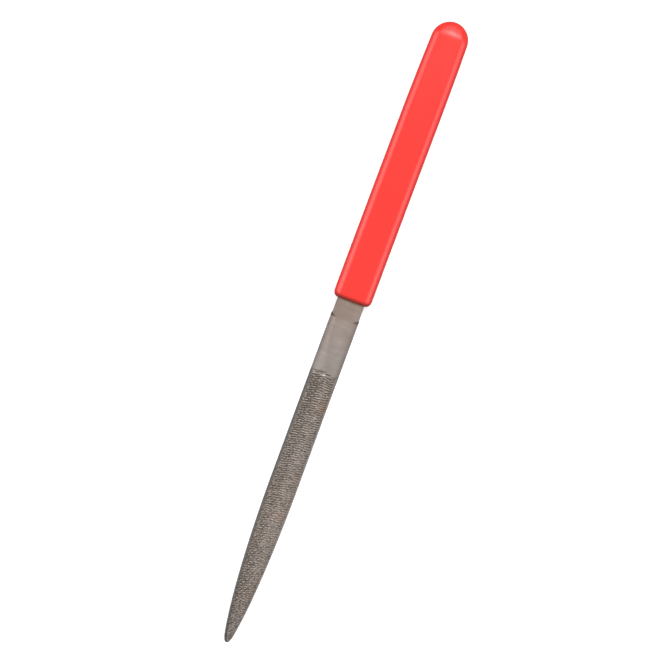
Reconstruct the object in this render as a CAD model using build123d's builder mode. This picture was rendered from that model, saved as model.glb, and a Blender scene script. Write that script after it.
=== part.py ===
from build123d import *
import math
import os

# A slim half-round hand rasp with a dipped grip. Millimetres.
# X runs along the tool: the point is at -X and the butt of the grip at +X. Z is
# up, and the round, toothed side faces up. The origin is under the middle of the
# whole tool, on the surface that the grip's broad face rests on.

# Overall
overall_length = 215.0
point_x = -overall_length / 2
butt_x = overall_length / 2

# Grip: a thick soft sleeve, open at the heel and closed at the butt
grip_length = 97.0
grip_width = 12.9
grip_thickness = 6.3
grip_edge_radius = 2.4
grip_lip_radius = 1.5
grip_taper_length = 26.0
grip_taper = 0.3
grip_end_length = 6.0
grip_end_side_pull = 4.5
grip_end_nose_pull = 2.3
grip_end_roll = 5.6
heel_x = butt_x - grip_length

# Blade: one bar of file steel, flat underneath and round on top
blade_width = 9.6
crown_height = 3.2
crown_radius = 6.5
tang_width = 9.2
tang_thickness = 2.5
tang_end_cover = 4.0
flat_back_z = (grip_thickness - tang_thickness) / 2
crown_axis_z = flat_back_z + crown_height - crown_radius

# Where the bar turns from round to flat, ahead of the grip. The flat neck is lower than
# the crown and comes up to it along a shallow ramp.
runout_start_x = heel_x - 6.3
runout_length = 1.7
runout_radius = 7.8
shoulder_x = runout_start_x + runout_length
shoulder_length = 0.9
ramp_length = 15.0
ramp_drop = 0.8

# Point: the sides curve in and the crown falls towards the nose
point_length = 54.5
point_start_x = point_x + point_length
point_side_pull = 4.0
nose_half_width = 1.2
nose_length = 1.2
nose_pull_length = 16.4
nose_pull_width = 3.5
nose_crown_radius = 4.6

# Teeth: three strips of slanting chisel cuts on the round side, and full-width
# cuts on the flat side. A cut is a lopsided V, steep on the side away from the
# point. Strip angles are measured from straight up, positive towards +Y.
tooth_pitch = 1.0
tooth_slant = 12.0
strip_angles = (21.5, -4.0, -29.5)
first_tooth_x = point_x + 3.0
last_tooth_x = heel_x - 25.4
crown_cut_depth = 0.16
crown_cut_length = 4.4
flat_cut_depth = 0.2
flat_cut_length = 14.0
cut_steep_side = 0.35
cut_gentle_side = 0.9
cut_clearance = 0.7

os.makedirs("parts", exist_ok=True)


def crown_radius_at(x):
    """Radius of the round side at one place along the blade."""
    if x > point_start_x:
        return crown_radius
    fall = crown_radius - nose_crown_radius
    arc_radius = (point_length**2 + fall**2) / (2 * fall)
    return crown_radius - arc_radius + math.sqrt(arc_radius**2 - (point_start_x - x) ** 2)


def cut_plane(foot, outward, slant):
    """Plane across one cut: its normal runs along the cut and its Y points out of the steel."""
    lean = math.radians(slant)
    sideways = Vector(0, outward.Z, -outward.Y)
    along_cut = sideways * math.cos(lean) - Vector(1, 0, 0) * math.sin(lean)
    return Plane(origin=foot, x_dir=outward.cross(along_cut), z_dir=along_cut)


tooth_rows = range(int((last_tooth_x - first_tooth_x) / tooth_pitch) + 1)
tooth_xs = [first_tooth_x + tooth_pitch * row for row in tooth_rows]
crown_cuts = []
for strip_angle in strip_angles:
    around = math.radians(strip_angle)
    outward = Vector(0, math.sin(around), math.cos(around))
    for x in tooth_xs:
        foot = Vector(x, 0, crown_axis_z) + outward * crown_radius_at(x)
        crown_cuts.append(cut_plane(foot, outward, tooth_slant))
flat_cuts = [cut_plane(Vector(x, 0, flat_back_z), Vector(0, 0, -1), tooth_slant) for x in tooth_xs]

# --- rasp_blade: point, shank and tang, ground from one bar ---
tang_top_z = flat_back_z + tang_thickness
tang_end_x = butt_x - tang_end_cover
half_blade = blade_width / 2
half_tang = tang_width / 2

with BuildPart() as rasp_blade:
    # Seen from above: a pointed bar that steps in to the tang
    with BuildSketch(Plane.XY.offset(flat_back_z)):
        with BuildLine():
            nose = (point_x + nose_length, nose_half_width)
            point_start = (point_start_x, half_blade)
            tang_start = (tang_end_x - half_tang, half_tang)
            Bezier(
                point_start,
                (point_start_x - point_side_pull, half_blade),
                (nose[0] + nose_pull_length, nose[1] + nose_pull_width),
                nose,
            )
            Polyline(point_start, (shoulder_x - shoulder_length, half_blade), (shoulder_x, half_tang), tang_start)
            mirror(about=Plane.XZ)
            ThreePointArc(nose, (point_x, 0), (nose[0], -nose[1]))
            ThreePointArc(tang_start, (tang_end_x, 0), (tang_start[0], -tang_start[1]))
        make_face()
    extrude(amount=crown_height + 1)

    # Seen from the side: the flat neck and tang are a little lower than the crown
    with BuildSketch(Plane.XZ):
        with BuildLine():
            Polyline(
                (point_x - 1, flat_back_z - 1),
                (butt_x, flat_back_z - 1),
                (butt_x, tang_top_z),
                (runout_start_x, tang_top_z),
                (runout_start_x - ramp_length, tang_top_z + ramp_drop),
                (point_x - 1, tang_top_z + ramp_drop),
                close=True,
            )
        make_face()
    extrude(amount=blade_width, both=True, mode=Mode.INTERSECT)

    # The round side: a turned shape about an axis below the flat back. It falls
    # towards the nose and flares past the bar's corners where the flat neck starts.
    with BuildSketch(Plane.XZ):
        with BuildLine():
            nose_crown = (point_x, crown_axis_z + nose_crown_radius)
            crown_start = (point_start_x, crown_axis_z + crown_radius)
            TangentArc(crown_start, nose_crown, tangent=(-1, 0))
            Polyline(
                crown_start,
                (runout_start_x, crown_axis_z + crown_radius),
                (shoulder_x, crown_axis_z + runout_radius),
                (butt_x, crown_axis_z + runout_radius),
                (butt_x, crown_axis_z),
                (point_x, crown_axis_z),
                nose_crown,
            )
        make_face()
    revolve(axis=Axis((0, 0, crown_axis_z), (1, 0, 0)), mode=Mode.INTERSECT)

    # Teeth: short cuts that run out by themselves where the crown curves away,
    # and cuts from edge to edge on the flat side
    for cuts, depth, length in (
        (crown_cuts, crown_cut_depth, crown_cut_length),
        (flat_cuts, flat_cut_depth, flat_cut_length),
    ):
        with BuildSketch(*cuts):
            with BuildLine():
                Polyline(
                    (0, -depth),
                    (cut_gentle_side, cut_clearance),
                    (-cut_steep_side, cut_clearance),
                    close=True,
                )
            make_face()
        extrude(amount=length / 2, both=True, mode=Mode.SUBTRACT, clean=False)

rasp_blade.part.label = "rasp_blade"

# --- handle_grip: dipped sleeve that fits the tang and neck line to line ---
with BuildPart() as handle_grip:
    # Seen from above: parallel sides, a slight taper, and a full blunt end
    with BuildSketch():
        with BuildLine():
            half_grip = grip_width / 2
            end_start_x = butt_x - grip_end_length
            taper_start = (end_start_x - grip_taper_length, half_grip)
            end_start = (end_start_x, half_grip - grip_taper)
            end_lean = 2 * grip_taper / grip_taper_length
            Polyline((heel_x, 0), (heel_x, half_grip), taper_start)
            TangentArc(taper_start, end_start, tangent=(1, 0))
            Bezier(
                end_start,
                (end_start[0] + grip_end_side_pull, end_start[1] - grip_end_side_pull * end_lean),
                (butt_x, grip_end_nose_pull),
                (butt_x, 0),
            )
            mirror(about=Plane.XZ)
        make_face()
    extrude(amount=grip_thickness)

    long_edges = handle_grip.edges().filter_by(Plane.XY).filter_by(
        lambda edge: edge.center().X > heel_x + 1
    )
    fillet(long_edges, radius=grip_edge_radius)
    heel_rim = handle_grip.faces().sort_by(Axis.X)[0].outer_wire().edges()
    fillet(heel_rim, radius=grip_lip_radius)

    # Seen from the side: the butt rolls over in a half ellipse
    with BuildSketch(Plane.XZ):
        with BuildLine():
            half_thickness = grip_thickness / 2
            roll_start_x = butt_x - grip_end_roll
            EllipticalCenterArc(
                (roll_start_x, half_thickness),
                x_radius=grip_end_roll,
                y_radius=half_thickness,
                start_angle=-90,
                arc_size=180,
            )
            Polyline(
                (roll_start_x, grip_thickness),
                (heel_x, grip_thickness),
                (heel_x, 0),
                (roll_start_x, 0),
            )
        make_face()
    extrude(amount=grip_width, both=True, mode=Mode.INTERSECT)

    # The pocket is the shape of the neck and tang
    add(rasp_blade.part, mode=Mode.SUBTRACT)

handle_grip.part.label = "handle_grip"

for piece in (rasp_blade.part, handle_grip.part):
    export_step(piece, f"parts/{piece.label}.step")
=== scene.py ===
"""Looks of a half-round hand rasp with a red dipped grip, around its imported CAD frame.

Shapes are worked out in millimetres and scaled to metres as each mesh is made.
X runs from the point to the butt, Z is up out of the round toothed side, and +Y is the left side.
"""
import math

import bpy
import numpy as np
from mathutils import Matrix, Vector


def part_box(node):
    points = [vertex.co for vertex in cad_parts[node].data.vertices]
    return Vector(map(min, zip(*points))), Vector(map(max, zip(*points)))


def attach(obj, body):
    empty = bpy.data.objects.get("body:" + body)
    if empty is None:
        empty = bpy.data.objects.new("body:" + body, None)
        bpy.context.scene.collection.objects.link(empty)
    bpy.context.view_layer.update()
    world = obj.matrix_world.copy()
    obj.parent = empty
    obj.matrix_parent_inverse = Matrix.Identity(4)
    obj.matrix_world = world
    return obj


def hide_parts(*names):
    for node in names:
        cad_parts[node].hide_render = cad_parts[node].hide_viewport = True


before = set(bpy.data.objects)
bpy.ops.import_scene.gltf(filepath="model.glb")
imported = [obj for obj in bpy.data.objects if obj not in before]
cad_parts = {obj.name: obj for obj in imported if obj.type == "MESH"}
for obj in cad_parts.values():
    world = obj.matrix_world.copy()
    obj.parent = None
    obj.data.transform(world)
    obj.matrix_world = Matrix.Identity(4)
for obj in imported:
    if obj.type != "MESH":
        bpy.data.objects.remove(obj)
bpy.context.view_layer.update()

MM = 0.001

# ------------------------------------------------------------------ sizes
# From the frame
BLADE_LOW, BLADE_HIGH = (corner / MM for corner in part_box("rasp_blade"))
GRIP_LOW, GRIP_HIGH = (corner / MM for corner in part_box("handle_grip"))
POINT_X = BLADE_LOW.x
TANG_END_X = BLADE_HIGH.x
HALF_BLADE = BLADE_HIGH.y
BACK_Z = BLADE_LOW.z
HEEL_X = GRIP_LOW.x
BUTT_X = GRIP_HIGH.x
HALF_GRIP = GRIP_HIGH.y
HALF_THICK = GRIP_HIGH.z / 2

# Bar section
CROWN_HEIGHT = 3.2
CROWN_RADIUS = 6.5
AXIS_Z = BACK_Z + CROWN_HEIGHT - CROWN_RADIUS
HALF_TANG = 4.6
TANG_THICKNESS = 2.5
TANG_TOP_Z = BACK_Z + TANG_THICKNESS
EDGE_ROUND = 0.12
CORNER_SHARE = 0.3

# Point: the sides curve in to a nose that is round from above and rolled over from the side,
# and whose lower side lifts
POINT_LENGTH = 54.5
POINT_START_X = POINT_X + POINT_LENGTH
POINT_SIDE_PULL = 4.0
NOSE_LENGTH = 1.2
NOSE_HALF_WIDTH = 1.2
NOSE_PULL = (16.4, 3.5)
NOSE_CROWN_RADIUS = 4.6
NOSE_ROUND = 2.3
NOSE_ROLL = 0.8
NOSE_LIFT = 0.25

# Where the round bar turns flat, ahead of the grip
RUNOUT_X = HEEL_X - 6.3
SHOULDER_X = RUNOUT_X + 1.7
SHOULDER_LENGTH = 0.9
FLARE_RADIUS = 7.8
RAMP_LENGTH = 15.0
RAMP_DROP = 0.8
RAMP_CURVE = 1.3

# Teeth: three strips of slanting cuts on the round side. Each has its angle about the section's
# axis and the slant of its cuts, both in degrees, and the X where it ends.
STRIPS = (
    (20.0, 13.0, HEEL_X - 24.4),
    (-4.0, 7.0, HEEL_X - 24.9),
    (-28.0, 8.0, HEEL_X - 25.3),
)
LAST_STRIP_END = max(end for _, _, end in STRIPS)
FIRST_STRIP_END = min(end for _, _, end in STRIPS)
PITCH = 0.776
LEAN = math.tan(math.radians(11.0))
STEEP_PART = 0.25
STRIKE_DEPTH = 0.36
TOOTH_HEIGHT = 0.22
BACK_TOOTH_HEIGHT = 0.18

# Uncut margins along the left and the right edge, and over what width the cuts run out beside them
UNCUT_EDGES = (0.35, 0.15)
UNCUT_FADE = 0.35

# The teeth are a little lower towards the point
LOWER_TEETH = 0.15
LOWER_TEETH_SPAN = (POINT_X + 15.0, POINT_X + 60.0)

# Finer second cuts across them: waves per millimetre along X and Y, shallower towards the grip
CROSS_WAVES = ((1.40, -0.77), (0.56, 0.86))
CROSS_DEPTH = 0.15
CROSS_BRINK = -0.2
SHALLOWER_CROSS = 0.22
SHALLOWER_CROSS_SPAN = (-55.0, -25.0)

# How uneven the cuts are. Soft noise has a strength and the size of its bumps along X and Y.
SEED = 7
STRAY, STRAY_CELL = 0.20, (1.5, 1.0)
BLOW_SPREAD = 0.05
STROKE_SHIFT = 0.2
STROKE_WAVE, STROKE_WAVE_CELL = 0.45, (1.3, 1.6)
CROSS_DRIFT, CROSS_DRIFT_CELL = 0.06, (2.2, 1.8)
SPECKLE, SPECKLE_CELL = 0.22, (0.36, 0.36)

# Darkening of the teeth, painted shade towards the left side and darker towards both ends: how much, where it
# starts and where it is full
SIDE_PAINTED_SHADE = ((0.06, -1.6, 0.4), (0.11, 0.4, 1.5))
HEELWARD_DARKENING = (0.15, -55.0, -22.0)
POINTWARD_DARKENING = (0.07, -60.0, -92.0)

# Painted shade along the ground edges, darker on the left: how dark it is, between which distances
# from the edge it fades out, and how much weaker it is on the shank
LEFT_EDGE_SHADE = (1.0, 0.4, 1.5)
RIGHT_EDGE_SHADE = (0.45, 0.5, 1.9)
SHANK_EDGE_SHADE_LOSS = 0.78

# Grip: parallel, then a slow taper, then a butt that is blunt from above and rolled over from the
# side. Its corner is given along Y and Z, and the corner of its open end along X and Y.
GRIP_TAPER_START = 33.5
GRIP_TAPER = 4.4e-4
GRIP_END_LENGTH = 6.1
GRIP_ROLL_LENGTH = 5.6
GRIP_CORNER = (3.0, 2.4)
BUTT_FULL_LENGTH = 5.0
BUTT_FULL_POWER = 1.2
BUTT_CROWN = 0.15
BUTT_CROWN_SPAN = (8.0, 26.0)
LIP_ROUND = 1.5
LIP_CORNER = (2.3, 1.7)
LIP_INNER = 0.3
LEAST_LIP_CORNER = 0.8
POCKET_GAP = 0.012
POCKET_END_GAP = 0.05
POCKET_CORNER = 0.12
FULLEST_CORNER = 0.98

# Shading of the grip: between which distances from the lip and from the sides it fades out
LIP_SHADE = (0.3, 1.9)
RIM_SHADE = (0.2, 1.4)

# The whole tool is slightly bowed sideways: how much per square millimetre of X, where its
# middle is along X, and how far the middle stands over
BOW = 4.17e-5
BOW_MIDDLE = 7.2
BOW_OVER = 0.18

# How finely the bar's mesh is divided: loops along it, and rows along each loop. On the teeth the
# loops stand a step apart and lean along the cuts. They turn upright towards the point and the shank.
STEP = 0.13
END_GAP = 0.01
END_COLUMNS = 12
NOSE_SPAN = 0.9
SHANK_COLUMNS = 52
RUNOUT_COLUMNS = 28
NECK_COLUMNS = 18
TANG_COLUMNS = 26
LEAN_SPAN = (POINT_X + 1.0, POINT_X + 8.0)
UPRIGHT_AFTER = 9.0
LEAN_PASSES = 3
CROWN_ROWS = 54
BACK_ROWS = 32
LAND_STEPS = 3

# How finely the grip's mesh is divided: loops along it, and steps round a quarter of a loop
BUTT_SPAN = 9.0
BUTT_COLUMNS = 30
BODY_COLUMNS = 76
LIP_TURNS = 14
MOUTH_TURNS = 6
POCKET_COLUMNS = 14
POCKET_END_COLUMNS = 10
GRIP_CORNER_STEPS = 10
GRIP_FLAT_STEPS = 8
GRIP_SIDE_STEPS = 3

# ------------------------------------------------------------------ colours
STEEL_DARK = (0.302, 0.270, 0.254)
STEEL_LIGHT = (0.368, 0.334, 0.319)
STEEL_CLOUD_TINT = (0.92, 0.89, 0.85)
STEEL_SCRATCHES = (0.90, 1.02)
STEEL_ROUGHNESS = (0.56, 0.66)
# Painted shade along the ground edges
EDGE_PAINTED_SHADE_COLOUR = (0.155, 0.148, 0.140)
# Dirt deep in the cuts, and painted shade towards the left side of the teeth
GULLET_DIRT_AND_PAINTED_SHADE = (0.11, 0.094, 0.080)
PVC_DARK = (0.90, 0.0205, 0.0130)
PVC_LIGHT = (0.94, 0.0235, 0.0150)
# Painted light: the grip is lighter near the heel
PVC_HEEL_PAINTED_LIGHT = (0.92, 0.0265, 0.0180)
# Painted shade along the sides and round the butt of the grip
PVC_RIM_PAINTED_SHADE = (0.75, 0.032, 0.024)
# Painted shade on the lip of the grip, where it turns down to the steel
PVC_LIP_PAINTED_SHADE = (0.34, 0.022, 0.013)
STUDIO_PAINT = (0.93, 0.94)

# Warmer steel towards the grip, partly a painted reflection of the red grip, and brighter steel on the teeth:
# where each starts and is full, and its tint
STEEL_TINTS = (
    (-8.0, 10.0, (1.0, 0.88, 0.80)),
    (-14.5, -15.5, (1.20, 1.16, 1.11)),
)

# Stains on the steel, the last one a bright spot that is a painted highlight: where in millimetres, how far
# they reach, how strong they are, and their colour
STAINS_AND_PAINTED_HIGHLIGHT = (
    ((-25.4, -2.9, 4.0), 3.4, 0.4, (0.34, 0.20, 0.12)),
    ((-63.5, -1.8, 4.6), 3.0, 0.25, (0.36, 0.22, 0.16)),
    ((9.4, -3.3, 4.4), 1.6, 0.35, (0.33, 0.25, 0.14)),
    # A painted highlight: a bright spot by the last teeth
    ((-14.8, 0.1, 5.1), 0.8, 0.9, (0.66, 0.64, 0.60)),
)


# ------------------------------------------------------------------ curves
def smoothstep(start, full, value):
    """0 at start and before, 1 at full and beyond, and an S curve between."""
    part = np.clip((value - start) / (full - start), 0.0, 1.0)
    return part * part * (3.0 - 2.0 * part)


def bezier_y(x, *corners):
    """Y at the places x of a cubic Bezier whose four points run in order of X."""
    part = np.linspace(0, 1, 400)[:, None]
    rest = 1 - part
    first, second, third, last = (np.array(corner) for corner in corners)
    curve = rest**3 * first + 3 * rest**2 * part * second + 3 * rest * part**2 * third + part**3 * last
    return np.interp(x, curve[:, 0], curve[:, 1])


def arc_fall(start_x, length, drop, x):
    """Fall of an arc that leaves the level at start_x and drops by drop over length towards -X."""
    radius = (length**2 + drop**2) / (2 * drop)
    run = np.clip(start_x - x, 0, length)
    return radius - np.sqrt(radius**2 - run**2)


def quarter_round(distance, length):
    """Height of an elliptical end, 0 at the end itself and 1 from length inwards."""
    part = np.clip(distance / length, 0.0, 1.0)
    return np.sqrt(np.maximum(1.0 - (1.0 - part) ** 2, 0.0))


def soft_noise(noise, x, y, cell):
    """Smooth random values from -1 to 1 over the plane, with bumps about a cell apart."""
    along = (x - x.min()) / cell[0]
    across = (y - y.min()) / cell[1]
    grid = noise.uniform(-1, 1, (int(along.max()) + 2, int(across.max()) + 2))
    column, row = along.astype(int), across.astype(int)
    right = smoothstep(0.0, 1.0, along - column)
    up = smoothstep(0.0, 1.0, across - row)
    low = grid[column, row] * (1 - right) + grid[column + 1, row] * right
    high = grid[column, row + 1] * (1 - right) + grid[column + 1, row + 1] * right
    return low * (1 - up) + high * up


# ------------------------------------------------------------------ meshes
def bowed(points):
    """The same points on the tool's slightly bent axis."""
    over = BOW_OVER - BOW * (points[:, 0] - BOW_MIDDLE) ** 2
    return points + over[:, None] * np.array([0.0, 1.0, 0.0])


def mesh_object(name, points, faces, attributes, smooth_angle):
    """A mesh object from millimetre points, with per-point attributes, creased at sharp angles."""
    mesh = bpy.data.meshes.new(name)
    mesh.from_pydata((bowed(points) * MM).tolist(), [], faces)
    for key, values in attributes.items():
        mesh.attributes.new(key, "FLOAT", "POINT").data.foreach_set("value", values)
    mesh.update()
    mesh.shade_smooth()
    mesh.set_sharp_from_angle(angle=math.radians(smooth_angle))
    piece = bpy.data.objects.new(name, mesh)
    bpy.context.scene.collection.objects.link(piece)
    return piece


def tube_faces(columns, rows):
    """Quads that join closed loops of the same length, and a fan at each end onto two last points."""
    faces = []
    for column in range(columns - 1):
        here, there = column * rows, (column + 1) * rows
        for row in range(rows):
            after = (row + 1) % rows
            faces.append((here + row, here + after, there + after, there + row))
    first_tip, last_tip = columns * rows, columns * rows + 1
    last = (columns - 1) * rows
    for row in range(rows):
        after = (row + 1) % rows
        faces.append((first_tip, after, row))
        faces.append((last_tip, last + row, last + after))
    return faces


# ------------------------------------------------------------------ bar
def half_width(x):
    """Half the bar's width, seen from above."""
    nose = (POINT_X + NOSE_LENGTH, NOSE_HALF_WIDTH)
    width = bezier_y(
        x,
        nose,
        (nose[0] + NOSE_PULL[0], nose[1] + NOSE_PULL[1]),
        (POINT_START_X - POINT_SIDE_PULL, HALF_BLADE),
        (POINT_START_X, HALF_BLADE),
    )
    width = width * quarter_round(x - POINT_X, NOSE_ROUND)
    width = width - (HALF_BLADE - HALF_TANG) * smoothstep(SHOULDER_X - SHOULDER_LENGTH, SHOULDER_X, x)
    tang_run = np.clip(x - (TANG_END_X - HALF_TANG), 0, HALF_TANG)
    return np.where(x > TANG_END_X - HALF_TANG, np.sqrt(HALF_TANG**2 - tang_run**2), width)


def crown_radius(x):
    """Radius of the round side. It shrinks towards the nose and flares out into the flat neck."""
    radius = CROWN_RADIUS - arc_fall(POINT_START_X, POINT_LENGTH, CROWN_RADIUS - NOSE_CROWN_RADIUS, x)
    flare = np.clip((x - RUNOUT_X) / (SHOULDER_X - RUNOUT_X), 0, 1)
    return radius + (FLARE_RADIUS - CROWN_RADIUS) * flare


def top_z(x, y):
    """Height of the upper surface before the teeth are cut."""
    round_z = AXIS_Z + np.sqrt(crown_radius(x) ** 2 - y**2)
    flat_z = TANG_TOP_Z + RAMP_DROP * np.maximum((RUNOUT_X - x) / RAMP_LENGTH, 0) ** RAMP_CURVE
    return np.minimum(round_z, flat_z)


def bar_columns():
    """Where the section loops stand along X, how far each leans per unit of Y, and where teeth start."""
    nose = POINT_X + END_GAP + NOSE_SPAN * np.linspace(0, 1, END_COLUMNS) ** 2
    teeth_stop = LAST_STRIP_END + LEAN * HALF_BLADE + 0.5
    teeth = nose[-1] + STEP * np.arange(1, int((teeth_stop - nose[-1]) / STEP))
    shank = np.linspace(teeth[-1] + 0.3, RUNOUT_X - 0.5, SHANK_COLUMNS)
    runout = np.linspace(RUNOUT_X - 0.4, SHOULDER_X + 0.8, RUNOUT_COLUMNS)
    neck = np.linspace(SHOULDER_X + 1.1, HEEL_X + 1.0, NECK_COLUMNS)
    tang = np.linspace(HEEL_X + 3.0, TANG_END_X - HALF_TANG, TANG_COLUMNS)
    end = TANG_END_X - END_GAP - (HALF_TANG - END_GAP) * np.linspace(1, 0, END_COLUMNS)[1:] ** 2
    xs = np.concatenate([nose, teeth, shank, runout, neck, tang, end])
    upright = smoothstep(teeth[-1], teeth[-1] + UPRIGHT_AFTER, xs)
    lean = LEAN * smoothstep(*LEAN_SPAN, xs) * (1 - upright)
    return xs, lean, teeth[0]


def leaning(xs, lean, across):
    """X of the points of each loop. The loops follow the cuts, so crests and gullets are clean lines."""
    x = np.repeat(xs[:, None], len(across), 1)
    for _ in range(LEAN_PASSES):
        x = xs[:, None] - lean[:, None] * across * half_width(x)
    return x


def crown_rows(xs, lean, round_off, nose, teeth_start):
    """X, Y, Z and darkness of the points of the round side, in even steps round its arc: dirt in the cuts and
    painted shade on the left side.
    """
    across = np.linspace(-1, 1, CROWN_ROWS)
    x = leaning(xs, lean, across)
    radius = crown_radius(x)
    edge_angle = np.arcsin(np.clip((half_width(x) - round_off) / radius, -1, 1))
    y = radius * np.sin(across * edge_angle)
    cut, gullet = crown_cuts(x, y, teeth_start)
    z = BACK_Z + (top_z(x, y) - cut - BACK_Z) * nose
    return x, y, z, gullet


def back_rows(xs, lean, round_off, nose, teeth_start):
    """X, Y, Z and depth in a cut of the points of the flat side."""
    across = np.linspace(1, -1, BACK_ROWS)
    x = leaning(xs, lean, across)
    y = across * (half_width(x) - round_off)
    cut, gullet = back_cuts(xs, x, y, teeth_start)
    z = BACK_Z + cut + NOSE_LIFT * (1 - nose)
    return x, y, z, gullet


def edge_rows(side, xs, lean, round_off, top, bottom):
    """The same of a ground edge from top to bottom, with a small rounded corner at each."""
    x = np.repeat(leaning(xs, lean, np.array([side])), 2 * LAND_STEPS, 1)
    turns = np.radians(np.linspace(0, 90, LAND_STEPS + 1)[1:])
    inset = 1 - np.sin(turns)
    fall = 1 - np.cos(turns)
    corner = np.minimum(round_off, CORNER_SHARE * (top - bottom))
    y = side * (half_width(x) - round_off * np.concatenate([inset, inset[::-1]]))
    z = np.concatenate([top - corner * fall, bottom + corner * fall[::-1]], 1)
    return x, y, z, np.zeros_like(x)


def painted_edge_shade(x, y):
    """How much painted shade lies along the ground edges, from 0 to 1. It is fainter on the right and on the
    shank.
    """
    to_edge = half_width(x) - np.abs(y)
    left, right = (dark * (1 - smoothstep(near, far, to_edge)) for dark, near, far in (LEFT_EDGE_SHADE, RIGHT_EDGE_SHADE))
    shank = smoothstep(LAST_STRIP_END - 0.8, LAST_STRIP_END + 0.4, x)
    return np.where(y > 0, left, right) * (1 - SHANK_EDGE_SHADE_LOSS * shank)


def blade_shape():
    """Points, faces and marks of the toothed bar, made of loops across it."""
    xs, lean, teeth_start = bar_columns()
    nose = quarter_round(xs - POINT_X, NOSE_ROLL)[:, None]
    round_off = np.minimum(EDGE_ROUND, CORNER_SHARE * half_width(xs))[:, None]
    crown = crown_rows(xs, lean, round_off, nose, teeth_start)
    back = back_rows(xs, lean, round_off, nose, teeth_start)
    crown_z, back_z = crown[2], back[2]
    left = edge_rows(1.0, xs, lean, round_off, crown_z[:, -1:], back_z[:, :1])
    right = edge_rows(-1.0, xs, lean, round_off, crown_z[:, :1], back_z[:, -1:])

    # Each loop runs over the crown, down the left edge, across the back and up the right edge
    right_upward = [rows[:, ::-1] for rows in right]
    x, y, z, gullet = (np.concatenate(rows, 1) for rows in zip(crown, left, back, right_upward))
    nose_z = (z[0].min() + z[0].max()) / 2
    tips = [(POINT_X, 0, nose_z), (TANG_END_X, 0, BACK_Z + TANG_THICKNESS / 2)]
    points = np.concatenate([np.stack([x, y, z], -1).reshape(-1, 3), tips])
    # Marks: dirt and painted shade in the teeth, and painted shade along the ground edges
    marks = {"gullet": np.append(gullet.ravel(), [0, 0]), "land": np.append(painted_edge_shade(x, y).ravel(), [1, 0])}
    return points, tube_faces(*x.shape), marks


# ------------------------------------------------------------------ teeth
def tooth_height(place):
    """Height on the teeth, 0 to 1, at this many pitches along: a steep face, then a long back."""
    part = np.mod(place, 1.0)
    return np.where(part < STEEP_PART, part / STEEP_PART, (1 - part) / (1 - STEEP_PART))


def crossing_cuts(x, y):
    """The finer second cuts, 1 along the bottom of their grooves and 0 between them."""
    grooves = [np.cos(2 * math.pi * (wave[0] * x + wave[1] * y)) for wave in CROSS_WAVES]
    return smoothstep(CROSS_BRINK, 1.0, np.maximum(*grooves))


def strip_cuts(noise, strip, x, y, narrowing, inside):
    """One strip's cuts: how deep they go, how high the teeth between them stand, and where they reach."""
    strip_angle, slant, end = strip
    radius = crown_radius(x)
    angle = np.arcsin(np.clip(y / radius, -1, 1))
    sideways = radius * np.sin(angle - math.radians(strip_angle) * narrowing)
    along = x + math.tan(math.radians(slant)) * sideways
    along = along + STRAY * soft_noise(noise, x, y, STRAY_CELL)
    place = along / PITCH + noise.uniform()
    stroke = (place - place.min()).astype(int)
    blow = 1 + BLOW_SPREAD * noise.standard_normal(stroke.max() + 1)[stroke]
    wander = STROKE_SHIFT * noise.standard_normal(stroke.max() + 1)[stroke]
    wander = wander + STROKE_WAVE * soft_noise(noise, x, y, STROKE_WAVE_CELL)
    bottom = STRIKE_DEPTH * blow * inside - (sideways + wander) ** 2 / (2 * CROWN_RADIUS)
    return bottom, tooth_height(place), along < end


def teeth_darkening_and_painted_shade(x, y):
    """How much darker the teeth are: painted shade towards the left side, and darker towards both ends."""
    darkening_and_painted_shade = sum(amount * smoothstep(start, full, y) for amount, start, full in SIDE_PAINTED_SHADE)
    for amount, start, full in (HEELWARD_DARKENING, POINTWARD_DARKENING):
        darkening_and_painted_shade = darkening_and_painted_shade + amount * smoothstep(start, full, x)
    return darkening_and_painted_shade


def crown_cuts(x, y, teeth_start):
    """Depth of the cuts in the round side, and how dark each point is: dark deep in them from dirt, with
    painted shade towards the left side and darker towards both ends.
    """
    noise = np.random.default_rng(SEED)
    full_angle = math.asin(HALF_BLADE / CROWN_RADIUS)
    narrowing = np.arcsin(np.clip(half_width(x) / crown_radius(x), 0, 1)) / full_angle
    uncut = np.where(y > 0, *UNCUT_EDGES) * np.sqrt(narrowing)
    inside = smoothstep(uncut, uncut + UNCUT_FADE, half_width(x) - np.abs(y))
    started = smoothstep(teeth_start - 0.1, teeth_start + 0.1, x)
    height = TOOTH_HEIGHT * (1 - LOWER_TEETH * (1 - smoothstep(*LOWER_TEETH_SPAN, x)))
    depth = np.zeros_like(x)
    facets = np.zeros_like(x)
    for strip in STRIPS:
        bottom, tooth, reached = strip_cuts(noise, strip, x, y, narrowing, inside)
        toothed = started * reached
        depth = np.maximum(depth, toothed * (bottom - height * tooth))
        facets = np.maximum(facets, toothed * (bottom - height))

    within = started * (1 - smoothstep(FIRST_STRIP_END - 1.0, FIRST_STRIP_END, x))
    drift = CROSS_DRIFT * soft_noise(noise, x, y, CROSS_DRIFT_CELL)
    cross_depth = CROSS_DEPTH * (1 - SHALLOWER_CROSS * smoothstep(*SHALLOWER_CROSS_SPAN, x))
    crossing = cross_depth * crossing_cuts(x + drift, y - drift) * inside * within
    depth = np.maximum(depth, facets + crossing)
    speckle = SPECKLE * soft_noise(noise, x, y, SPECKLE_CELL) * within
    # Painted shade towards the left side of the teeth, and darker towards both ends
    darkening_and_painted_shade = teeth_darkening_and_painted_shade(x, y) * within
    return depth, np.clip((depth - facets) / TOOTH_HEIGHT + speckle + darkening_and_painted_shade, 0, 1)


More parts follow.
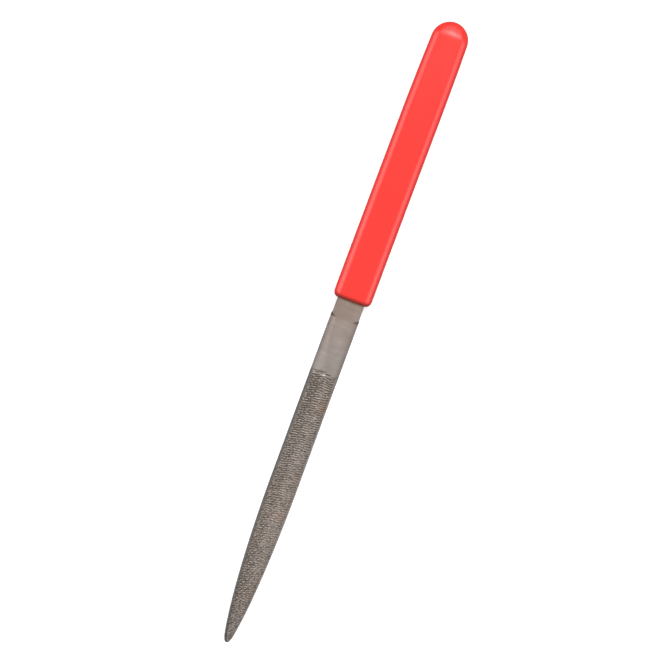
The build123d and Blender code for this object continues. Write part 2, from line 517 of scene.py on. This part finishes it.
def back_cuts(xs, x, y, teeth_start):
    """Depth of the full-width cuts in the flat side, and how deep each point lies in them."""
    height = tooth_height((x + LEAN * y) / PITCH)
    toothed = (xs >= teeth_start) & (xs < FIRST_STRIP_END)
    depth = np.maximum(BACK_TOOTH_HEIGHT * (1 - height), CROSS_DEPTH * crossing_cuts(x, y))
    depth = np.where(toothed[:, None], depth, 0)
    return depth, np.clip(depth / BACK_TOOTH_HEIGHT, 0, 1)


# ------------------------------------------------------------------ grip
def rounded_section(half_y, half_z, corner_y, corner_z, crown=0.0):
    """One loop of a flat oval section, its broad faces raised by crown along their middle."""
    turns = np.radians(np.linspace(0, 90, GRIP_CORNER_STEPS + 1))
    quarter_y = half_y - corner_y + corner_y * np.cos(turns)
    quarter_z = (half_z - crown - corner_z) + corner_z * np.sin(turns)
    flat_y = np.linspace(half_y - corner_y, 0, GRIP_FLAT_STEPS + 1)[1:]
    flat_z = half_z - crown * (flat_y / (half_y - corner_y)) ** 2
    side_z = np.linspace(0, half_z - crown - corner_z, GRIP_SIDE_STEPS + 1)[:-1]
    up_y = np.concatenate([np.full(GRIP_SIDE_STEPS, half_y), quarter_y, flat_y])
    up_z = np.concatenate([side_z, quarter_z, flat_z])
    over_y = np.concatenate([up_y, -up_y[-2::-1]])
    over_z = np.concatenate([up_z, up_z[-2::-1]])
    loop_y = np.concatenate([over_y, over_y[-2:0:-1]])
    loop_z = np.concatenate([over_z, -over_z[-2:0:-1]])
    return loop_y, loop_z


def grip_width_at(x):
    """Half the grip's width: parallel, then a slow taper, then the blunt end."""
    from_end = BUTT_X - x
    taper = GRIP_TAPER * np.clip(GRIP_TAPER_START - from_end, 0, None) ** 2
    return (HALF_GRIP - taper) * quarter_round(from_end, GRIP_END_LENGTH)


def outside_loops():
    """Loops of the sleeve's outside, from the butt to the lip. The corners widen into a full round butt."""
    butt = BUTT_X - END_GAP - BUTT_SPAN * np.linspace(0, 1, BUTT_COLUMNS) ** 2
    body = np.linspace(butt[-1] - 1.0, HEEL_X + LIP_CORNER[0] + 0.5, BODY_COLUMNS)
    for x in np.concatenate([butt, body]):
        from_end = BUTT_X - x
        half_y = float(grip_width_at(x))
        half_z = HALF_THICK * float(quarter_round(from_end, GRIP_ROLL_LENGTH))
        crown = BUTT_CROWN * float(1 - smoothstep(*BUTT_CROWN_SPAN, from_end)) * half_z / HALF_THICK
        fullness = float(1 - quarter_round(from_end, BUTT_FULL_LENGTH)) ** BUTT_FULL_POWER
        corner_y = GRIP_CORNER[0] + (half_y - GRIP_CORNER[0]) * fullness
        corner_z = GRIP_CORNER[1] + (half_z - GRIP_CORNER[1]) * fullness
        corner_y = min(corner_y, FULLEST_CORNER * half_y)
        corner_z = min(corner_z, FULLEST_CORNER * (half_z - crown))
        yield x, *rounded_section(half_y, half_z, corner_y, corner_z, crown)


def lip_loops():
    """Loops round the lip, from the outside over the open end to the mouth of the pocket."""
    for turn in np.radians(np.linspace(0, 90, LIP_TURNS)):
        x = HEEL_X + LIP_CORNER[0] * (1 - math.sin(turn))
        narrower = LIP_CORNER[1] * (1 - math.cos(turn))
        thinner = LIP_ROUND * (1 - float(quarter_round(x - HEEL_X, LIP_ROUND)))
        corner = [max(size - less, LEAST_LIP_CORNER) for size, less in zip(GRIP_CORNER, (narrower, thinner))]
        yield x, *rounded_section(HALF_GRIP - narrower, HALF_THICK - thinner, *corner)
    mouth_y, mouth_z = HALF_TANG + POCKET_GAP, TANG_THICKNESS / 2 + POCKET_GAP
    wall_y, wall_z = HALF_GRIP - LIP_CORNER[1] - mouth_y, HALF_THICK - LIP_ROUND - mouth_z
    for turn in np.radians(np.linspace(0, 90, MOUTH_TURNS)[1:]):
        wall = 1 - math.sin(turn)
        x = HEEL_X + LIP_INNER * (1 - math.cos(turn))
        corner = LEAST_LIP_CORNER + (POCKET_CORNER - LEAST_LIP_CORNER) * (1 - wall)
        yield x, *rounded_section(mouth_y + wall_y * wall, mouth_z + wall_z * wall, corner, corner)


def pocket_loops():
    """Loops of the pocket, from inside its mouth to its round end."""
    half_z = TANG_THICKNESS / 2 + POCKET_GAP
    for x in np.linspace(HEEL_X + 2.0, TANG_END_X - HALF_TANG, POCKET_COLUMNS):
        yield x, *rounded_section(HALF_TANG + POCKET_GAP, half_z, POCKET_CORNER, POCKET_CORNER)
    for x in TANG_END_X + POCKET_END_GAP - HALF_TANG * np.linspace(1, 0, POCKET_END_COLUMNS)[1:-1] ** 2:
        half_y = math.sqrt(max(HALF_TANG**2 - (x - TANG_END_X + HALF_TANG) ** 2, 0.2)) + POCKET_GAP
        yield x, *rounded_section(half_y, half_z, POCKET_CORNER, POCKET_CORNER)


def grip_shape():
    """Points, faces and marks of the sleeve, made of loops from the butt to the end of the pocket."""
    loops = [*outside_loops(), *lip_loops(), *pocket_loops()]
    points = [(x, y, z + HALF_THICK) for x, ys, zs in loops for y, z in zip(ys, zs)]
    points += [(BUTT_X, 0, HALF_THICK), (TANG_END_X + POCKET_END_GAP + END_GAP, 0, HALF_THICK)]
    points = np.array(points)
    # Painted shade on the lip, where it turns down to the steel
    lip = 1 - smoothstep(*LIP_SHADE, points[:, 0] - HEEL_X)
    # Painted shade along the sides and round the butt
    to_side = grip_width_at(points[:, 0]) - np.abs(points[:, 1])
    rim = 1 - smoothstep(*RIM_SHADE, np.minimum(to_side, BUTT_X - points[:, 0]))
    return points, tube_faces(len(loops), len(loops[0][1])), {"lip": lip, "rim": rim}


# ------------------------------------------------------------------ materials
def new_material(name, **sockets):
    """A node material whose shader has these fixed values, with short helpers to add and join nodes."""
    material = bpy.data.materials.new(name)
    material.use_nodes = True
    tree = material.node_tree
    shader = tree.nodes["Principled BSDF"]
    for socket, value in sockets.items():
        shader.inputs[socket.replace("_", " ")].default_value = value

    def node(kind, inputs=None, **settings):
        made = tree.nodes.new(kind)
        for key, value in settings.items():
            setattr(made, key, value)
        for key, value in (inputs or {}).items():
            if isinstance(value, bpy.types.NodeSocket):
                tree.links.new(value, made.inputs[key])
            else:
                made.inputs[key].default_value = value
        return made

    return material, shader, node, tree.links.new


def grey(value):
    """A grey as a colour."""
    return (value, value, value)


def ramp(node, factor, *stops):
    """A colour ramp node's output, from (place, colour) stops."""
    made = node("ShaderNodeValToRGB", {"Fac": factor})
    for element, (place, colour) in zip(made.color_ramp.elements, stops, strict=True):
        element.position = place
        element.color = (*colour, 1.0)
    return made.outputs["Color"]


def mixed(node, factor, first, second, blend="MIX"):
    """Colour mix of two colours or sockets. Sockets 0, 6 and 7 are the node's colour factor, A and B."""
    colours = [(*value, 1.0) if isinstance(value, tuple) else value for value in (first, second)]
    made = node("ShaderNodeMix", data_type="RGBA", blend_type=blend)
    for index, value in zip((0, 6, 7), (factor, *colours)):
        if isinstance(value, bpy.types.NodeSocket):
            made.id_data.links.new(value, made.inputs[index])
        else:
            made.inputs[index].default_value = value
    return made.outputs[2]


def bare_steel(node, place, mottle, grain):
    """Colour of the steel: mottled and clouded, tinted along its length (near the grip partly a painted
    reflection of the red grip), with fine scratches.
    """
    cloud = node("ShaderNodeTexNoise", {"Vector": place, "Scale": 90.0, "Detail": 2.0}).outputs["Fac"]
    place_x = node("ShaderNodeSeparateXYZ", {"Vector": place}).outputs["X"]
    colour = ramp(node, mottle, (0.3, STEEL_DARK), (0.7, STEEL_LIGHT))
    clouds = ramp(node, cloud, (0.35, STEEL_CLOUD_TINT), (0.65, grey(1.0)))
    colour = mixed(node, 1.0, colour, clouds, "MULTIPLY")
    # Near the grip the warm tint is partly a painted reflection of the red grip
    for start, full, tint in STEEL_TINTS:
        reach = node("ShaderNodeMapRange", {"Value": place_x, "From Min": start * MM, "From Max": full * MM})
        tinted = mixed(node, 1.0, colour, tint, "MULTIPLY")
        colour = mixed(node, reach.outputs["Result"], colour, tinted)
    dark, light = STEEL_SCRATCHES
    scratches = ramp(node, grain, (0.3, grey(dark)), (0.7, grey(light)))
    return mixed(node, 1.0, colour, scratches, "MULTIPLY")


def with_stains_and_painted_highlight(node, place, colour):
    """The same colour with the stains and the painted highlight over it."""
    for middle, reach, amount, mark_colour in STAINS_AND_PAINTED_HIGHLIGHT:
        middle = tuple(value * MM for value in middle)
        away = node("ShaderNodeVectorMath", {0: place, 1: middle}, operation="DISTANCE").outputs["Value"]
        fade = {"Value": away, "From Max": reach * MM, "To Min": amount, "To Max": 0.0}
        cover = node("ShaderNodeMapRange", fade).outputs["Result"]
        colour = mixed(node, cover, colour, mark_colour)
    return colour


def steel_material():
    """Bare file steel: satin, with dirt in the gullets, painted shade on the left side of the teeth and along
    the ground edges, a few stains and a painted highlight.
    """
    material, shader, node, join = new_material("file_steel", Metallic=1.0, Roughness=0.6)
    place = node("ShaderNodeTexCoord").outputs["Object"]
    stretched = node("ShaderNodeMapping", {"Vector": place, "Scale": (900, 160, 160)}).outputs["Vector"]
    grain = node("ShaderNodeTexNoise", {"Vector": stretched, "Scale": 1.0, "Detail": 4.0}).outputs["Fac"]
    mottle = node("ShaderNodeTexNoise", {"Vector": place, "Scale": 260.0, "Detail": 3.0}).outputs["Fac"]
    land = node("ShaderNodeAttribute", attribute_name="land").outputs["Fac"]
    gullet = node("ShaderNodeAttribute", attribute_name="gullet").outputs["Fac"]
    # Painted shade along the ground edges
    colour = mixed(node, land, bare_steel(node, place, mottle, grain), EDGE_PAINTED_SHADE_COLOUR)
    # Dirt in the gullets, and painted shade towards the left side of the teeth
    deep = ramp(node, gullet, (0.50, grey(0.0)), (0.94, grey(1.0)))
    colour = mixed(node, deep, colour, GULLET_DIRT_AND_PAINTED_SHADE)
    join(with_stains_and_painted_highlight(node, place, colour), shader.inputs["Base Color"])
    smooth, rough = STEEL_ROUGHNESS
    join(ramp(node, mottle, (0.2, grey(smooth)), (0.8, grey(rough))), shader.inputs["Roughness"])
    bump = node("ShaderNodeBump", {"Strength": 0.15, "Distance": 0.00005, "Height": grain})
    join(bump.outputs["Normal"], shader.inputs["Normal"])
    return material


def pvc_material():
    """Soft dipped PVC: saturated coral red with faint clouds, with painted shade at its side edges, its butt
    and its lip, and painted light towards the heel.
    """
    material, shader, node, join = new_material("red_pvc", Roughness=0.3, IOR=1.54)
    place = node("ShaderNodeTexCoord").outputs["Object"]
    place_x = node("ShaderNodeSeparateXYZ", {"Vector": place}).outputs["X"]
    cloud = node("ShaderNodeTexNoise", {"Vector": place, "Scale": 60.0, "Detail": 2.0}).outputs["Fac"]
    colour = ramp(node, cloud, (0.3, PVC_DARK), (0.7, PVC_LIGHT))
    # Painted light, lighter towards the heel
    heelward_painted_light = node("ShaderNodeMapRange", {"Value": place_x, "From Min": 0.050, "From Max": 0.015})
    colour = mixed(node, heelward_painted_light.outputs["Result"], colour, PVC_HEEL_PAINTED_LIGHT)
    # Both marks are painted shade: along the sides and butt, and on the lip
    for mark, shade in (("rim", PVC_RIM_PAINTED_SHADE), ("lip", PVC_LIP_PAINTED_SHADE)):
        amount = node("ShaderNodeAttribute", attribute_name=mark).outputs["Fac"]
        colour = mixed(node, amount, colour, shade)
    join(colour, shader.inputs["Base Color"])
    return material


def studio_material():
    """Plain pale paint for the floor and the wall. It glows more far away, which hides the horizon."""
    material, shader, node, join = new_material("pale_studio", Roughness=0.9, Specular_IOR_Level=0.1)
    shader.inputs["Emission Color"].default_value = (1.0, 1.0, 1.0, 1.0)
    place = node("ShaderNodeTexCoord").outputs["Object"]
    away = node("ShaderNodeVectorMath", {0: place}, operation="LENGTH").outputs["Value"]
    glow = node("ShaderNodeMapRange", {"Value": away, "From Min": 0.4, "From Max": 1.8, "To Min": 0.45})
    join(glow.outputs["Result"], shader.inputs["Emission Strength"])
    cloud = node("ShaderNodeTexNoise", {"Vector": place, "Scale": 3.0, "Detail": 2.0}).outputs["Fac"]
    dark, light = STUDIO_PAINT
    join(ramp(node, cloud, (0.3, grey(dark)), (0.7, grey(light))), shader.inputs["Base Color"])
    return material


# ------------------------------------------------------------------ pieces
blade = mesh_object("rasp_blade_cut", *blade_shape(), 25.0)
blade.data.materials.append(steel_material())
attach(blade, "root")
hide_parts("rasp_blade")

grip = mesh_object("handle_grip_dipped", *grip_shape(), 40.0)
grip.data.materials.append(pvc_material())
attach(grip, "root")
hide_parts("handle_grip")

# ------------------------------------------------------------------ floor, light and camera
STUDIO_RADIUS = 2.0
WALL_HEIGHT = 2.0
WALL_SIDES = 64

# Softboxes: where they stand, how large they are, and how bright
SOFTBOXES = {
    "side_light_left": ((0.05, 0.95, 0.75), (0.8, 0.95), 3.1),
    "side_light_right": ((0.05, -0.95, 0.75), (0.8, 0.95), 2.4),
    "butt_light": ((0.6, -0.03, 1.1), (0.3, 0.35), 11.0),
    "butt_strip": ((0.62, 0.0, 1.1), (1.5, 0.25), 2.1),
    "butt_fill": ((1.0, 0.0, 0.6), (0.8, 0.6), 1.6),
}
SKY_STRENGTH = 0.45

# The camera looks straight down. The tool's axis leans to the upper right in its picture.
CAMERA_HEIGHT = 1.0
CAMERA_OVER = (-0.0003, 0.0038)
CAMERA_TURN = math.radians(-69.6)
VIEW_WIDTH = 0.21397


def studio_surface(name, paint, points, faces):
    """Part of the studio that no surface reflects, so that it adds no light to the tool."""
    mesh = bpy.data.meshes.new(name)
    mesh.from_pydata(points, [], faces)
    mesh.materials.append(paint)
    surface = bpy.data.objects.new(name, mesh)
    surface.visible_diffuse = False
    surface.visible_glossy = False
    bpy.context.scene.collection.objects.link(surface)
    return surface


def studio():
    """A round floor with a wall far behind the tool, which casts no shadow."""
    paint = studio_material()
    turns = [2 * math.pi * side / WALL_SIDES for side in range(WALL_SIDES)]
    circle = [(STUDIO_RADIUS * math.cos(turn), STUDIO_RADIUS * math.sin(turn)) for turn in turns]
    studio_surface("floor", paint, [(x, y, 0) for x, y in circle], [tuple(range(WALL_SIDES))])
    sides = [(side, (side + 1) % WALL_SIDES) for side in range(WALL_SIDES)]
    wall_faces = [(side, after, WALL_SIDES + after, WALL_SIDES + side) for side, after in sides]
    wall = studio_surface("wall", paint, [(x, y, z) for z in (0, WALL_HEIGHT) for x, y in circle], wall_faces)
    wall.visible_shadow = False


def softbox(name, place, size, radiance):
    """A large soft light that faces the middle of the tool and isn't seen itself."""
    data = bpy.data.lights.new(name, "AREA")
    data.shape = "RECTANGLE"
    data.size, data.size_y = size
    data.energy = radiance * math.pi * size[0] * size[1]
    light = bpy.data.objects.new(name, data)
    light.location = place
    light.rotation_euler = (-Vector(place)).to_track_quat("-Z", "Y").to_euler()
    light.visible_camera = False
    bpy.context.scene.collection.objects.link(light)


def sky():
    """Even pale light from all round, a little brighter from above."""
    world = bpy.data.worlds.new("studio")
    world.use_nodes = True
    nodes = world.node_tree.nodes
    join = world.node_tree.links.new
    toward = nodes.new("ShaderNodeTexCoord")
    height = nodes.new("ShaderNodeSeparateXYZ")
    shade = nodes.new("ShaderNodeValToRGB")
    join(toward.outputs["Generated"], height.inputs[0])
    join(height.outputs["Z"], shade.inputs["Fac"])
    join(shade.outputs["Color"], nodes["Background"].inputs["Color"])
    low, high = shade.color_ramp.elements
    low.color = (0.8, 0.8, 0.8, 1.0)
    high.color = (1.0, 1.0, 1.0, 1.0)
    high.position = 0.7
    nodes["Background"].inputs["Strength"].default_value = SKY_STRENGTH
    bpy.context.scene.world = world


def overhead_camera():
    """The camera, whose view is VIEW_WIDTH wide at half the grip's thickness."""
    data = bpy.data.cameras.new("camera")
    data.sensor_width = 36.0
    data.lens = data.sensor_width * (CAMERA_HEIGHT - HALF_THICK * MM) / VIEW_WIDTH
    camera = bpy.data.objects.new("camera", data)
    camera.location = (*CAMERA_OVER, CAMERA_HEIGHT)
    camera.rotation_euler = (0.0, 0.0, CAMERA_TURN)
    bpy.context.scene.collection.objects.link(camera)
    bpy.context.scene.camera = camera


studio()
for softbox_name, settings in SOFTBOXES.items():
    softbox(softbox_name, *settings)
sky()
overhead_camera()
bpy.context.scene.view_settings.view_transform = "Standard"
